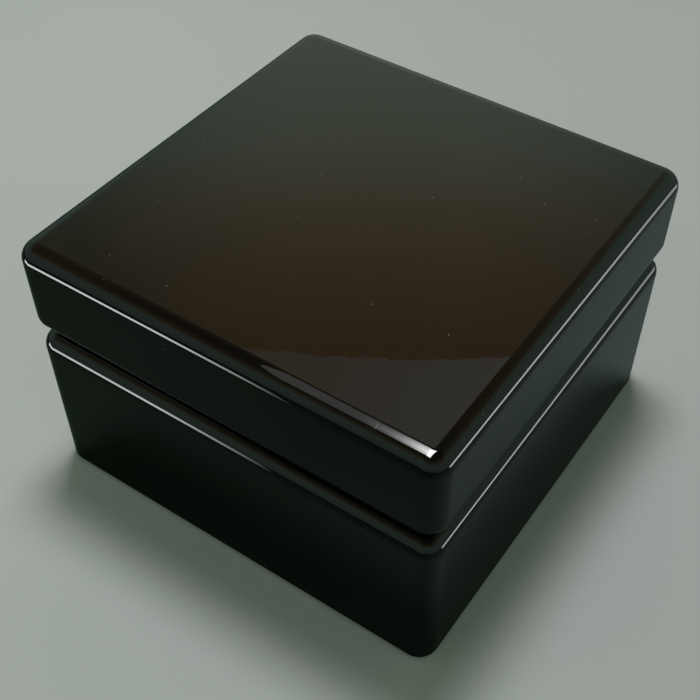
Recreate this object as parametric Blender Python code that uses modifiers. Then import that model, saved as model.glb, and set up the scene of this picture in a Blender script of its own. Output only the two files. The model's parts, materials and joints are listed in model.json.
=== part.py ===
"""A square lacquered powder box: hinged lid with a mirror, and a base that holds a powder jar and a puff.

Units are metres, +Z is up, and the origin is at the centre of the underside.
The front is -Y, and the hinges are in the groove at the back, on +Y.
"""

import math

import bmesh
import bpy
from mathutils import Matrix, Vector

MM = 0.001

# Driving dimensions
WIDTH = 120.0 * MM
HEIGHT = 77.3 * MM
CORNER_RADIUS = 5.3 * MM
LID_TOP_RADIUS = 4.7 * MM
LID_RIM_RADIUS = 4.0 * MM
BASE_RIM_RADIUS = 4.5 * MM
BASE_FOOT_RADIUS = 0.6 * MM
BASE_TOP = 47.9 * MM
LID_BOTTOM = 50.9 * MM
GAP = 0.3 * MM
CUT_MARGIN = 5.0 * MM
DRILL_LENGTH = 20.0 * MM

# Base
HALF = WIDTH / 2
PAD_PROUD = 0.5 * MM
PAD_THICKNESS = 1.2 * MM
PAD_HALF = 53.0 * MM
PAD_CORNER_RADIUS = 2.0 * MM
BASE_CAVITY_HALF = 53.0 * MM
BASE_FLOOR_TOP = 7.0 * MM
NECK_HALF = BASE_CAVITY_HALF - GAP
NECK_WALL = 2.0 * MM
NECK_TOP = 54.5 * MM
NECK_EDGE_RADIUS = 0.4 * MM
LINER_HALF = NECK_HALF - NECK_WALL - GAP
LINER_WALL = 3.0 * MM
LINER_TOP = 41.0 * MM
DECK_THICKNESS = 3.0 * MM
DECK_HOLE_RADIUS = 38.6 * MM
COVER_THICKNESS = 0.9 * MM

# Lid
RABBET_HALF = 53.5 * MM
LID_CAVITY_HALF = 51.4 * MM
RABBET_TOP = NECK_TOP + GAP
CEILING = 70.3 * MM
BOARD_HALF = LID_CAVITY_HALF - GAP
BOARD_THICKNESS = 1.5 * MM
LINING_THICKNESS = 1.2 * MM
MIRROR_HALF = 42.0 * MM
MIRROR_THICKNESS = 2.2 * MM
BEZEL_HALF = 45.6 * MM
BEZEL_OPENING_HALF = 40.6 * MM
BEZEL_LIP = 1.0 * MM
BEZEL_EDGE_RADIUS = 0.8 * MM
MIRROR_CHAMFER = 0.5 * MM
BEZEL_SCREW_AT = 43.95 * MM

# Jar, powder, sifter and puff
JAR_FLANGE_RADIUS = 40.6 * MM
JAR_RADIUS = 38.0 * MM
JAR_BOTTOM = 9.0 * MM
JAR_FLOOR = 11.4 * MM
JAR_INNER_RADIUS = 33.6 * MM
JAR_MOUTH_RADIUS = 36.5 * MM
JAR_STEP = 38.0 * MM
JAR_FLANGE_THICKNESS = 1.6 * MM
JAR_FOOT_RADIUS = 2.0 * MM
JAR_MOUTH_CHAMFER = 0.5 * MM
POWDER_TOP = 31.0 * MM
POWDER_DOME = 1.2 * MM
SIFTER_RADIUS = JAR_MOUTH_RADIUS - GAP
SIFTER_OPENING = 32.0 * MM
SIFTER_HEIGHT = 3.2 * MM
SIFTER_LIP = 0.7 * MM
NET_SEAT = 1.6 * MM
NET_THICKNESS = 0.5 * MM
PUFF_RADIUS = 34.0 * MM
PUFF_THICKNESS = 11.0 * MM
RIBBON_WIDTH = 11.0 * MM
RIBBON_THICKNESS = 0.6 * MM
RIBBON_RISE = 2.6 * MM
RIBBON_STEPS = 12

# Hinges
AXIS_Y = HALF - 2.0 * MM
AXIS_Z = (BASE_TOP + LID_BOTTOM) / 2
HINGE_AT_X = 31.0 * MM
HINGE_SIDES = (("left", -HINGE_AT_X), ("right", HINGE_AT_X))
HINGE_LENGTH = 24.0 * MM
KNUCKLE_RADIUS = 1.6 * MM
KNUCKLE_BORE = 0.95 * MM
PIN_RADIUS = 0.6 * MM
KNUCKLE_COUNT = 5
KNUCKLE_STEPS = 20
LEAF_THICKNESS = 0.9 * MM
LEAF_INNER_Y = 53.8 * MM
LEAF_RECESS = 0.6 * MM
NOTCH_Y = 56.1 * MM
NOTCH_GAP = 0.36 * MM
SCREW_Y = 55.1 * MM
SCREW_OFFSET_X = 7.2 * MM
SCREW_RADIUS = 0.5 * MM
SCREW_HOLE_RADIUS = 0.8 * MM
SCREW_HEAD_RADIUS = 1.0 * MM
SCREW_HEAD_HEIGHT = 0.6 * MM
SCREW_HEAD_CHAMFER = 0.15 * MM
HINGE_SCREW_REACH = 6.0 * MM
SCREW_HOLE_DEPTH = 7.3 * MM
SLOT_WIDTH = 0.3 * MM

# Levels that follow from the sizes above
SHELL_BOTTOM = PAD_PROUD
PAD_RECESS_TOP = PAD_THICKNESS + GAP
DECK_BOTTOM = LINER_TOP + GAP
DECK_TOP = DECK_BOTTOM + DECK_THICKNESS
COVER_BOTTOM = DECK_TOP + GAP
COVER_TOP = COVER_BOTTOM + COVER_THICKNESS
JAR_FLANGE_BOTTOM = COVER_TOP + GAP
JAR_RIM = JAR_FLANGE_BOTTOM + JAR_FLANGE_THICKNESS
SIFTER_BOTTOM = JAR_STEP + GAP
SIFTER_TOP = SIFTER_BOTTOM + SIFTER_HEIGHT
NET_BOTTOM = SIFTER_BOTTOM
PUFF_BOTTOM = SIFTER_TOP + GAP
PUFF_TOP = PUFF_BOTTOM + PUFF_THICKNESS
BOARD_TOP = CEILING - GAP
BOARD_BOTTOM = BOARD_TOP - BOARD_THICKNESS
LINING_TOP = BOARD_BOTTOM - GAP
LINING_BOTTOM = LINING_TOP - LINING_THICKNESS
BEZEL_TOP = LINING_BOTTOM - GAP
MIRROR_TOP = BEZEL_TOP
MIRROR_BOTTOM = MIRROR_TOP - MIRROR_THICKNESS
BEZEL_BOTTOM = MIRROR_BOTTOM - GAP - BEZEL_LIP

ROUND_SEGMENTS = 10
TURN_STEPS = 48
SMALL_TURN_STEPS = 16

MATERIALS = {
    "black_lacquer": ((0.006, 0.005, 0.005), 0.04, 0.0),
    "neck_black": ((0.010, 0.009, 0.009), 0.45, 0.0),
    "felt": ((0.020, 0.022, 0.020), 0.95, 0.0),
    "greyboard": ((0.30, 0.27, 0.23), 0.85, 0.0),
    "velvet": ((0.16, 0.008, 0.014), 0.90, 0.0),
    "ivory_plastic": ((0.80, 0.72, 0.58), 0.22, 0.0),
    "face_powder": ((0.80, 0.55, 0.42), 0.95, 0.0),
    "net": ((0.82, 0.76, 0.66), 0.80, 0.0),
    "puff_plush": ((0.85, 0.64, 0.58), 0.95, 0.0),
    "satin": ((0.62, 0.16, 0.20), 0.35, 0.0),
    "brass": ((0.72, 0.50, 0.20), 0.25, 1.0),
    "steel": ((0.55, 0.55, 0.55), 0.30, 1.0),
    "mirror": ((0.92, 0.93, 0.93), 0.02, 1.0),
}


def clear_scene():
    for obj in list(bpy.data.objects):
        bpy.data.objects.remove(obj, do_unlink=True)


def new_collection(name):
    collection = bpy.data.collections.new(name)
    bpy.context.scene.collection.children.link(collection)
    return collection


def make_materials():
    made = {}
    for name, (colour, roughness, metallic) in MATERIALS.items():
        material = bpy.data.materials.new(name)
        material.use_nodes = True
        shader = material.node_tree.nodes["Principled BSDF"]
        shader.inputs["Base Color"].default_value = (*colour, 1.0)
        shader.inputs["Roughness"].default_value = roughness
        shader.inputs["Metallic"].default_value = metallic
        made[name] = material
    return made


clear_scene()
PARTS = new_collection("powder_box")
CUTTERS = new_collection("cutters")
MATERIAL = make_materials()


def add_mesh(name, bm, material=None, smooth_angle=35.0, closed=True):
    """A named object in the parts' collection, or a cutter when it has no material."""
    if closed:
        bmesh.ops.recalc_face_normals(bm, faces=bm.faces)
    mesh = bpy.data.meshes.new(name)
    bm.to_mesh(mesh)
    bm.free()
    obj = bpy.data.objects.new(name, mesh)
    if material:
        PARTS.objects.link(obj)
        mesh.materials.append(MATERIAL[material])
        mesh.shade_smooth()
        mesh.set_sharp_from_angle(angle=math.radians(smooth_angle))
    else:
        CUTTERS.objects.link(obj)
        obj.hide_render = True
        obj.display_type = "WIRE"
    return obj


def box_bmesh(low, high):
    """A closed box between two corners."""
    low, high = Vector(low), Vector(high)
    bm = bmesh.new()
    bmesh.ops.create_cube(bm, size=1.0)
    size = high - low
    bmesh.ops.scale(bm, vec=size, verts=bm.verts)
    bmesh.ops.translate(bm, vec=(low + high) / 2, verts=bm.verts)
    return bm


def square_bmesh(half, bottom, top):
    """A square block centred on the Z axis."""
    return box_bmesh((-half, -half, bottom), (half, half, top))


def edges_at(bm, level):
    """The edges that lie at one height."""
    return [e for e in bm.edges if all(abs(v.co.z - level) < GAP / 10 for v in e.verts)]


def upright_edges(bm):
    return [e for e in bm.edges if abs((e.verts[0].co - e.verts[1].co).normalized().z) > 0.99]


def bevel(bm, edges, width, segments=ROUND_SEGMENTS):
    bmesh.ops.bevel(
        bm,
        geom=edges,
        offset=width,
        offset_type="OFFSET",
        segments=segments,
        profile=0.5,
        affect="EDGES",
        clamp_overlap=False,
    )


def rounded_block(bottom, top, top_radius, bottom_radius):
    """The box's outline as a block, with rounded corners and its own rounding at top and bottom."""
    bm = square_bmesh(HALF, bottom, top)
    bevel(bm, upright_edges(bm), CORNER_RADIUS)
    bevel(bm, edges_at(bm, top), top_radius)
    segments = ROUND_SEGMENTS if bottom_radius > MM else 2
    bevel(bm, edges_at(bm, bottom), bottom_radius, segments)
    return bm


def boolean(obj, cutter, operation="DIFFERENCE"):
    modifier = obj.modifiers.new(cutter.name, "BOOLEAN")
    modifier.operation = operation
    modifier.solver = "EXACT"
    modifier.object = cutter


def cut_box(obj, name, low, high):
    boolean(obj, add_mesh(name, box_bmesh(low, high)))


def cut_square(obj, name, half, bottom, top):
    boolean(obj, add_mesh(name, square_bmesh(half, bottom, top)))


def cylinder_bmesh(radius, length, centre, axis="Z", steps=SMALL_TURN_STEPS):
    bm = bmesh.new()
    bmesh.ops.create_cone(
        bm, cap_ends=True, segments=steps, radius1=radius, radius2=radius, depth=length
    )
    if axis == "X":
        bmesh.ops.rotate(bm, matrix=Matrix.Rotation(math.radians(90), 3, "Y"), verts=bm.verts)
    bmesh.ops.translate(bm, vec=Vector(centre), verts=bm.verts)
    return bm


def turned(name, profile, material, steps=TURN_STEPS):
    """A turned piece: an outline of (radius, height) points swept round its Z axis."""
    closed = profile[0] == profile[-1]
    points = profile[:-1] if closed else profile
    bm = bmesh.new()
    verts = [bm.verts.new((radius, 0.0, z)) for radius, z in points]
    for first, second in zip(verts, verts[1:]):
        bm.edges.new((first, second))
    if closed:
        bm.edges.new((verts[-1], verts[0]))
    mesh = bpy.data.meshes.new(name)
    bm.to_mesh(mesh)
    bm.free()
    mesh.materials.append(MATERIAL[material])
    obj = bpy.data.objects.new(name, mesh)
    PARTS.objects.link(obj)
    screw = obj.modifiers.new("turn", "SCREW")
    screw.axis = "Z"
    screw.steps = steps
    screw.render_steps = steps
    screw.use_merge_vertices = True
    screw.merge_threshold = 0.00001
    screw.use_smooth_shade = True
    return obj


def arc(centre, radius, start, end, count=4):
    """Points on an arc in the (radius, height) plane, angles in degrees."""
    step = (end - start) / count
    angles = [math.radians(start + step * i) for i in range(count + 1)]
    return [(centre[0] + radius * math.cos(a), centre[1] + radius * math.sin(a)) for a in angles]


def square_ring(name, outer, inner, bottom, top, material):
    """A square frame with a straight hollow."""
    ring = add_mesh(name, square_bmesh(outer, bottom, top), material)
    cut_square(ring, name + "_hollow", inner, bottom - CUT_MARGIN, top + CUT_MARGIN)
    return ring


# Base


def make_base_shell():
    block = rounded_block(SHELL_BOTTOM, BASE_TOP, BASE_RIM_RADIUS, BASE_FOOT_RADIUS)
    shell = add_mesh("base_shell", block, "black_lacquer")
    cut_square(shell, "base_cavity", BASE_CAVITY_HALF, BASE_FLOOR_TOP, BASE_TOP + CUT_MARGIN)
    cut_square(shell, "pad_recess", PAD_HALF + GAP, SHELL_BOTTOM - CUT_MARGIN, PAD_RECESS_TOP)
    for side, x in HINGE_SIDES:
        low = (x - HINGE_LENGTH / 2 - GAP, BASE_CAVITY_HALF - MM, BASE_TOP - LEAF_RECESS - GAP)
        high = (x + HINGE_LENGTH / 2 + GAP, HALF + CUT_MARGIN, BASE_TOP + CUT_MARGIN)
        cut_box(shell, "base_mortise_" + side, low, high)
        for index, hole_x in enumerate(screw_places(x)):
            centre = (hole_x, SCREW_Y, BASE_TOP - SCREW_HOLE_DEPTH / 2)
            hole = cylinder_bmesh(SCREW_HOLE_RADIUS, SCREW_HOLE_DEPTH, centre)
            boolean(shell, add_mesh(f"base_screw_hole_{side}_{index}", hole))


def make_base_pad():
    bm = square_bmesh(PAD_HALF, 0.0, PAD_THICKNESS)
    bevel(bm, upright_edges(bm), PAD_CORNER_RADIUS, 4)
    add_mesh("base_felt", bm, "felt")


def make_neck():
    inner = NECK_HALF - NECK_WALL
    neck = square_ring("neck_frame", NECK_HALF, inner, BASE_FLOOR_TOP + GAP, NECK_TOP, "neck_black")
    soften = neck.modifiers.new("break_edges", "BEVEL")
    soften.width = NECK_EDGE_RADIUS
    soften.segments = 2
    soften.limit_method = "ANGLE"
    soften.angle_limit = math.radians(60)


def make_liner():
    inner = LINER_HALF - LINER_WALL
    square_ring("deck_support", LINER_HALF, inner, BASE_FLOOR_TOP + GAP, LINER_TOP, "greyboard")


def make_deck():
    """The board over the liner and its velvet cover, with one hole through both for the jar."""
    board = add_mesh("deck_board", square_bmesh(LINER_HALF, DECK_BOTTOM, DECK_TOP), "greyboard")
    cover = add_mesh("deck_velvet", square_bmesh(LINER_HALF, COVER_BOTTOM, COVER_TOP), "velvet")
    drill = cylinder_bmesh(DECK_HOLE_RADIUS, DRILL_LENGTH, (0, 0, DECK_TOP), steps=TURN_STEPS)
    hole = add_mesh("deck_hole", drill)
    boolean(board, hole)
    boolean(cover, hole)


def make_jar():
    flange_round = JAR_FLANGE_THICKNESS / 2
    flange_centre = (JAR_FLANGE_RADIUS - flange_round, JAR_FLANGE_BOTTOM + flange_round)
    foot = JAR_FOOT_RADIUS
    profile = [(0.0, JAR_FLOOR)]
    profile += arc((JAR_INNER_RADIUS - foot, JAR_FLOOR + foot), foot, -90, 0, 3)
    profile += [(JAR_INNER_RADIUS, JAR_STEP), (JAR_MOUTH_RADIUS, JAR_STEP)]
    profile += [(JAR_MOUTH_RADIUS, JAR_RIM - JAR_MOUTH_CHAMFER)]
    profile += [(JAR_MOUTH_RADIUS + JAR_MOUTH_CHAMFER, JAR_RIM)]
    profile += arc(flange_centre, flange_round, 90, -90, 6)
    profile += [(JAR_RADIUS, JAR_FLANGE_BOTTOM)]
    profile += arc((JAR_RADIUS - foot, JAR_BOTTOM + foot), foot, 0, -90, 3)
    profile += [(0.0, JAR_BOTTOM)]
    turned("powder_jar", profile, "ivory_plastic")


def make_powder():
    radius = JAR_INNER_RADIUS - GAP
    foot = JAR_FOOT_RADIUS
    bottom = JAR_FLOOR + GAP
    profile = [(0.0, POWDER_TOP + POWDER_DOME)]
    profile += [(radius * 0.6, POWDER_TOP + POWDER_DOME * 0.7), (radius, POWDER_TOP)]
    profile += arc((radius - foot, bottom + foot), foot, 0, -90, 3)
    profile += [(0.0, bottom)]
    turned("loose_powder", profile, "face_powder")


def make_sifter_ring():
    """A ring with a step under its inner edge, where the net lies."""
    seat = SIFTER_OPENING + NET_SEAT
    seat_top = NET_BOTTOM + NET_THICKNESS + GAP
    lip = SIFTER_LIP
    profile = [(SIFTER_OPENING, SIFTER_TOP - lip)]
    profile += arc((SIFTER_OPENING + lip, SIFTER_TOP - lip), lip, 180, 90, 3)[1:]
    profile += arc((SIFTER_RADIUS - lip, SIFTER_TOP - lip), lip, 90, 0, 3)
    profile += [(SIFTER_RADIUS, SIFTER_BOTTOM), (seat, SIFTER_BOTTOM), (seat, seat_top)]
    profile += [(SIFTER_OPENING, seat_top), (SIFTER_OPENING, SIFTER_TOP - lip)]
    turned("sifter_ring", profile, "ivory_plastic")


def make_sifter_net():
    radius = SIFTER_OPENING + NET_SEAT - GAP
    top = NET_BOTTOM + NET_THICKNESS
    profile = [(0.0, top), (radius, top), (radius, NET_BOTTOM), (0.0, NET_BOTTOM)]
    turned("sifter_net", profile, "net")


def make_puff():
    """A round cushion with a full edge."""
    half = PUFF_THICKNESS / 2
    centre_z = PUFF_BOTTOM + half
    edge = (PUFF_RADIUS - half, centre_z)
    profile = [(0.0, PUFF_TOP)]
    profile += arc(edge, half, 90, -90, 8)
    profile += [(0.0, PUFF_BOTTOM)]
    turned("powder_puff", profile, "puff_plush")


def make_puff_ribbon():
    """A satin band that arches over the puff as a finger loop."""
    reach = PUFF_RADIUS - PUFF_THICKNESS / 2
    low = PUFF_TOP + GAP
    half_width = RIBBON_WIDTH / 2
    bm = bmesh.new()
    rows = []
    for i in range(RIBBON_STEPS + 1):
        along = -1.0 + 2.0 * i / RIBBON_STEPS
        z = low + RIBBON_RISE * (1.0 - along * along)
        rows.append([bm.verts.new((along * reach, y, z)) for y in (-half_width, half_width)])
    for first, second in zip(rows, rows[1:]):
        bm.faces.new((first[0], second[0], second[1], first[1]))
    band = add_mesh("puff_ribbon", bm, "satin", closed=False)
    solid = band.modifiers.new("thickness", "SOLIDIFY")
    solid.thickness = RIBBON_THICKNESS
    solid.offset = 1.0


# Hinges


def screw_places(hinge_x):
    return (hinge_x - SCREW_OFFSET_X, hinge_x + SCREW_OFFSET_X)


def knuckle_spans(hinge_x):
    """The start and end of each knuckle along X, with a gap between neighbours."""
    pitch = HINGE_LENGTH / KNUCKLE_COUNT
    starts = [hinge_x - HINGE_LENGTH / 2 + i * pitch for i in range(KNUCKLE_COUNT)]
    return [(start + GAP / 2, start + pitch - GAP / 2) for start in starts]


def make_leaf(name, hinge_x, bottom, own, others):
    """A leaf with its own knuckles, notched where the other leaf's knuckles turn."""
    spans = knuckle_spans(hinge_x)
    low = (hinge_x - HINGE_LENGTH / 2, LEAF_INNER_Y, bottom)
    high = (hinge_x + HINGE_LENGTH / 2, AXIS_Y, bottom + LEAF_THICKNESS)
    leaf = add_mesh(name, box_bmesh(low, high), "brass", 40.0)
    for i in others:
        start, end = spans[i]
        cut_box(
            leaf,
            f"{name}_notch_{i}",
            (start - NOTCH_GAP, NOTCH_Y, bottom - MM),
            (end + NOTCH_GAP, AXIS_Y + MM, bottom + LEAF_THICKNESS + MM),
        )
    for i in own:
        start, end = spans[i]
        centre = ((start + end) / 2, AXIS_Y, AXIS_Z)
        tube = cylinder_bmesh(KNUCKLE_RADIUS, end - start, centre, "X", KNUCKLE_STEPS)
        boolean(leaf, add_mesh(f"{name}_knuckle_{i}", tube), "UNION")
    middle = (hinge_x, AXIS_Y, AXIS_Z)
    bore = cylinder_bmesh(KNUCKLE_BORE, HINGE_LENGTH * 2, middle, "X", KNUCKLE_STEPS)
    boolean(leaf, add_mesh(name + "_bore", bore))
    for index, x in enumerate(screw_places(hinge_x)):
        hole = cylinder_bmesh(SCREW_HOLE_RADIUS, DRILL_LENGTH, (x, SCREW_Y, bottom))
        boolean(leaf, add_mesh(f"{name}_hole_{index}", hole))


def make_pin(name, hinge_x):
    bm = cylinder_bmesh(PIN_RADIUS, HINGE_LENGTH, (hinge_x, AXIS_Y, AXIS_Z), "X")
    add_mesh(name, bm, "steel", 40.0)


def make_screw(name, place, direction, seat_z, reach):
    """A slotted screw. Its head sits on a plate at seat_z, and reach is how far in it goes."""
    head_low = direction * GAP
    head_high = head_low + direction * SCREW_HEAD_HEIGHT
    tip = -direction * reach
    profile = [
        (0.0, head_high),
        (SCREW_HEAD_RADIUS - SCREW_HEAD_CHAMFER, head_high),
        (SCREW_HEAD_RADIUS, head_high - direction * SCREW_HEAD_CHAMFER),
        (SCREW_HEAD_RADIUS, head_low),
        (SCREW_RADIUS, head_low),
        (SCREW_RADIUS, tip + direction * SCREW_RADIUS),
        (0.0, tip),
    ]
    if direction < 0:
        profile.reverse()
    screw = turned(name, profile, "brass", SMALL_TURN_STEPS)
    screw.location = (*place, seat_z)
    slot_at = (*place, seat_z + head_high)
    slot_reach = Vector((3 * SCREW_HEAD_RADIUS, SLOT_WIDTH, SCREW_HEAD_HEIGHT)) / 2
    cut_box(screw, name + "_slot", Vector(slot_at) - slot_reach, Vector(slot_at) + slot_reach)


def make_hinges():
    base_leaf_bottom = BASE_TOP - LEAF_RECESS
    lid_leaf_bottom = LID_BOTTOM + LEAF_RECESS - LEAF_THICKNESS
    for side, x in HINGE_SIDES:
        make_leaf(f"hinge_base_leaf_{side}", x, base_leaf_bottom, (0, 2, 4), (1, 3))
        make_leaf(f"hinge_lid_leaf_{side}", x, lid_leaf_bottom, (1, 3), (0, 2, 4))
        make_pin(f"hinge_pin_{side}", x)
        for index, screw_x in enumerate(screw_places(x), start=1):
            place = (screw_x, SCREW_Y)
            base_seat = base_leaf_bottom + LEAF_THICKNESS
            make_screw(f"base_screw_{side}_{index}", place, 1, base_seat, HINGE_SCREW_REACH)
            make_screw(f"lid_screw_{side}_{index}", place, -1, lid_leaf_bottom, HINGE_SCREW_REACH)


# Lid


def make_lid_shell():
    block = rounded_block(LID_BOTTOM, HEIGHT, LID_TOP_RADIUS, LID_RIM_RADIUS)
    shell = add_mesh("lid_shell", block, "black_lacquer")
    cut_square(shell, "lid_rabbet", RABBET_HALF, LID_BOTTOM - 2 * CUT_MARGIN, RABBET_TOP)
    cut_square(shell, "lid_cavity", LID_CAVITY_HALF, LID_BOTTOM - CUT_MARGIN, CEILING)
    for side, x in HINGE_SIDES:
        low = (x - HINGE_LENGTH / 2 - GAP, RABBET_HALF - MM, LID_BOTTOM - CUT_MARGIN)
        high = (x + HINGE_LENGTH / 2 + GAP, HALF + CUT_MARGIN, LID_BOTTOM + LEAF_RECESS + GAP)
        cut_box(shell, "lid_mortise_" + side, low, high)
        for index, hole_x in enumerate(screw_places(x)):
            centre = (hole_x, SCREW_Y, LID_BOTTOM + SCREW_HOLE_DEPTH / 2)
            hole = cylinder_bmesh(SCREW_HOLE_RADIUS, SCREW_HOLE_DEPTH, centre)
            boolean(shell, add_mesh(f"lid_screw_hole_{side}_{index}", hole))


def make_mirror_set():
    """The lid's velvet-covered board, with a mirror that a brass bezel and four screws hold on it."""
    block = square_bmesh(BOARD_HALF, BOARD_BOTTOM, BOARD_TOP)
    board = add_mesh("lining_board", block, "greyboard")
    cloth = square_bmesh(BOARD_HALF, LINING_BOTTOM, LINING_TOP)
    lining = add_mesh("lid_lining", cloth, "velvet")

    mirror = square_bmesh(MIRROR_HALF, MIRROR_BOTTOM, MIRROR_TOP)
    bevel(mirror, edges_at(mirror, MIRROR_BOTTOM), MIRROR_CHAMFER, 1)
    add_mesh("mirror", mirror, "mirror", 10.0)

    frame = square_bmesh(BEZEL_HALF, BEZEL_BOTTOM, BEZEL_TOP)
    bevel(frame, upright_edges(frame), BEZEL_EDGE_RADIUS, 3)
    bevel(frame, edges_at(frame, BEZEL_BOTTOM), BEZEL_EDGE_RADIUS / 2, 3)
    bezel = add_mesh("mirror_bezel", frame, "brass")
    opening_span = (BEZEL_BOTTOM - CUT_MARGIN, BEZEL_TOP + CUT_MARGIN)
    cut_square(bezel, "bezel_opening", BEZEL_OPENING_HALF, *opening_span)
    cut_square(bezel, "bezel_rabbet", MIRROR_HALF + GAP, MIRROR_BOTTOM - GAP, BEZEL_TOP + MM)

    corners = [(x * BEZEL_SCREW_AT, y * BEZEL_SCREW_AT) for x in (-1, 1) for y in (-1, 1)]
    for index, place in enumerate(corners, start=1):
        drill = cylinder_bmesh(SCREW_HOLE_RADIUS, DRILL_LENGTH, (*place, BOARD_BOTTOM))
        hole = add_mesh(f"bezel_hole_{index}", drill)
        for piece in (board, lining, bezel):
            boolean(piece, hole)
        reach = BOARD_TOP - BEZEL_BOTTOM - GAP
        make_screw(f"bezel_screw_{index}", place, -1, BEZEL_BOTTOM, reach)


make_base_pad()
make_base_shell()
make_neck()
make_liner()
make_deck()
make_jar()
make_powder()
make_sifter_ring()
make_sifter_net()
make_puff()
make_puff_ribbon()
make_hinges()
make_lid_shell()
make_mirror_set()
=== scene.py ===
"""The looks of the lacquered powder box: its finishes, its soft pieces, and a soft studio round it.

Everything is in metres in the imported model's own frame: +Z is up, -Y is the front, and the hinges
are at +Y.
"""

import json
import math

import bmesh
import bpy
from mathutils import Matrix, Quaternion, Vector, noise
from mathutils.bvhtree import BVHTree


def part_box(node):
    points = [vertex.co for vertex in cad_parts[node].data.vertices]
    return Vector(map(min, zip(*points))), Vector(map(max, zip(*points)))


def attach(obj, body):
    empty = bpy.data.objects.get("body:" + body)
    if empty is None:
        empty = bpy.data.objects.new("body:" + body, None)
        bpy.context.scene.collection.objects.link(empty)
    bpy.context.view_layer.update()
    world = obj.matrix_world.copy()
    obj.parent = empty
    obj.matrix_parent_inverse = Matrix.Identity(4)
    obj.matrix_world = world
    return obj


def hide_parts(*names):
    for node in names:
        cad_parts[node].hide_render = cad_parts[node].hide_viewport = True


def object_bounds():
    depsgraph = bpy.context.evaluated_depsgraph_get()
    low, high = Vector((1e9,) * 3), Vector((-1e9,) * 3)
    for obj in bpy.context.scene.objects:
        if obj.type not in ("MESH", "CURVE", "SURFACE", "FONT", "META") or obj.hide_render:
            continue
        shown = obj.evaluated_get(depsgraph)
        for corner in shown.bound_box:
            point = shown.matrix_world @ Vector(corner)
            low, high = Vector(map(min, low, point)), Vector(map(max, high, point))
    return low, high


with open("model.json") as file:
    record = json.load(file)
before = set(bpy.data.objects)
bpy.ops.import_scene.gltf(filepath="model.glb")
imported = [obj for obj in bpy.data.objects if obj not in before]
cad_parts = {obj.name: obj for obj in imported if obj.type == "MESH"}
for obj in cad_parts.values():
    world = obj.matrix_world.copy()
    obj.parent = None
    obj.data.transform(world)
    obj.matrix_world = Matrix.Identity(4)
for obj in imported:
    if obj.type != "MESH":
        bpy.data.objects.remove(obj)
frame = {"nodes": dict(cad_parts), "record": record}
cad_low, cad_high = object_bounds()

MM = 0.001
NODES = frame["nodes"]
SCENE = bpy.context.scene


def direction(azimuth, elevation):
    """A unit vector. Azimuth 0 is towards -Y and 90 towards +X, in degrees."""
    a, e = math.radians(azimuth), math.radians(elevation)
    return Vector((math.sin(a) * math.cos(e), -math.cos(a) * math.cos(e), math.sin(e)))


# The camera: what it looks at, from where, and its lens
CAMERA_AIM = Vector((18.6, -16.5, 40.0)) * MM
CAMERA_DISTANCE = 294.4 * MM
CAMERA_AZIMUTH = 32.498
CAMERA_ELEVATION = 47.590
CAMERA_ROLL = 1.569
CAMERA_LENS = 59.25
CAMERA_SHIFT = (-0.0517, 0.0427)

# The studio: the floor, a soft panel and a lamp overhead, and two low strips that draw the edge lines
FLOOR_HALF = 3.0
# Painted shade on the floor: its colour goes from the first colour to the second, darker one, towards
# the back right, and the colours it shows in sharp reflections are painted much darker still
FLOOR_COLOURS_WITH_PAINTED_SHADE = ((0.655, 0.688, 0.685), (0.590, 0.615, 0.615))
FLOOR_PAINTED_SHADE_IN_REFLECTIONS = ((0.082, 0.132, 0.100), (0.215, 0.272, 0.265))
FLOOR_PAINTED_SHADE_TURNS_AT = (-0.10, 0.13)
PANEL_HEIGHT = 0.877
PANEL_EDGE = [(-0.90, 0.505), (-0.53, 0.515), (-0.463, 0.548), (-0.335, 0.622), (-0.272, 0.672)]
PANEL_OUTER = [(-0.250, 0.69), (-0.245, 0.47), (-0.90, 0.47)]
PANEL_FADE = (-0.55, -0.24)
PANEL_COLOURS = ((0.42, 0.35, 0.25), (0.60, 0.57, 0.46))
LAMP_AT = direction(-147.0, 79.0) * 0.8
LAMP_AIM = Vector((0.0, 0.0, 0.04))
LAMP_SIZE = (0.18, 0.18)
LAMP_POWER = 2.65
LAMP_COLOUR = (1.0, 0.99, 1.0)
GLINT_X = (-0.34, 0.05)
GLINT_Y = (-0.30, 0.22)
GLINT_HEIGHT = 0.767
GLINT_FADE = (-0.30, -0.160)
GLINT_SHARPNESS = 6.0
GLINT_LEVELS = (0.7, 24.0)
STRIP_STEPS = 24
STRIP_COLOUR = (0.95, 1.0, 0.97)
FRONT_STRIP = {
    "azimuths": (-56.0, -6.0), "distances": (0.25, 0.165), "heights": (0.004, 0.036),
    "level": 8.5, "fade": (0.90, 0.60), "dim": 0.0,
}
RIGHT_STRIP = {
    "azimuths": (96.0, 146.0), "distances": (0.42, 0.26), "heights": (0.004, 0.050),
    "level": 8.0, "fade": (0.0, 0.90), "dim": 0.10,
}
ROOM_COLOURS = (
    (0.0, (0.50, 0.54, 0.50)),
    (31.0, (0.60, 0.72, 0.57)),
    (36.0, (0.58, 0.67, 0.50)),
    (39.0, (0.58, 0.49, 0.32)),
    (42.0, (0.49, 0.36, 0.21)),
    (46.0, (0.41, 0.27, 0.13)),
    (52.0, (0.30, 0.20, 0.11)),
    (58.0, (0.12, 0.10, 0.07)),
    (90.0, (0.08, 0.08, 0.06)),
)
ROOM_BRIGHT_SIDE = (-147.0, 35.0)
ROOM_DIM_AT = 0.2
ROOM_BRIGHT_AT = 0.85
WINDOW_AZIMUTH = -147.0
WINDOW_HALF_WIDTHS = (19.0, 5.0)
BESIDE_WINDOW = (0.43, 0.54, 0.55)
ROOM_DIM_LEVEL = 1.1

# Finishes
SMOOTH_ANGLE = 32.0
SMOOTH_MERGE = 0.002 * MM
RUBBED_RIM = (5.0 * MM, 1.0 * MM)
RIBBON_SELVAGE = (0.8 * MM, 0.4 * MM)

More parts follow.
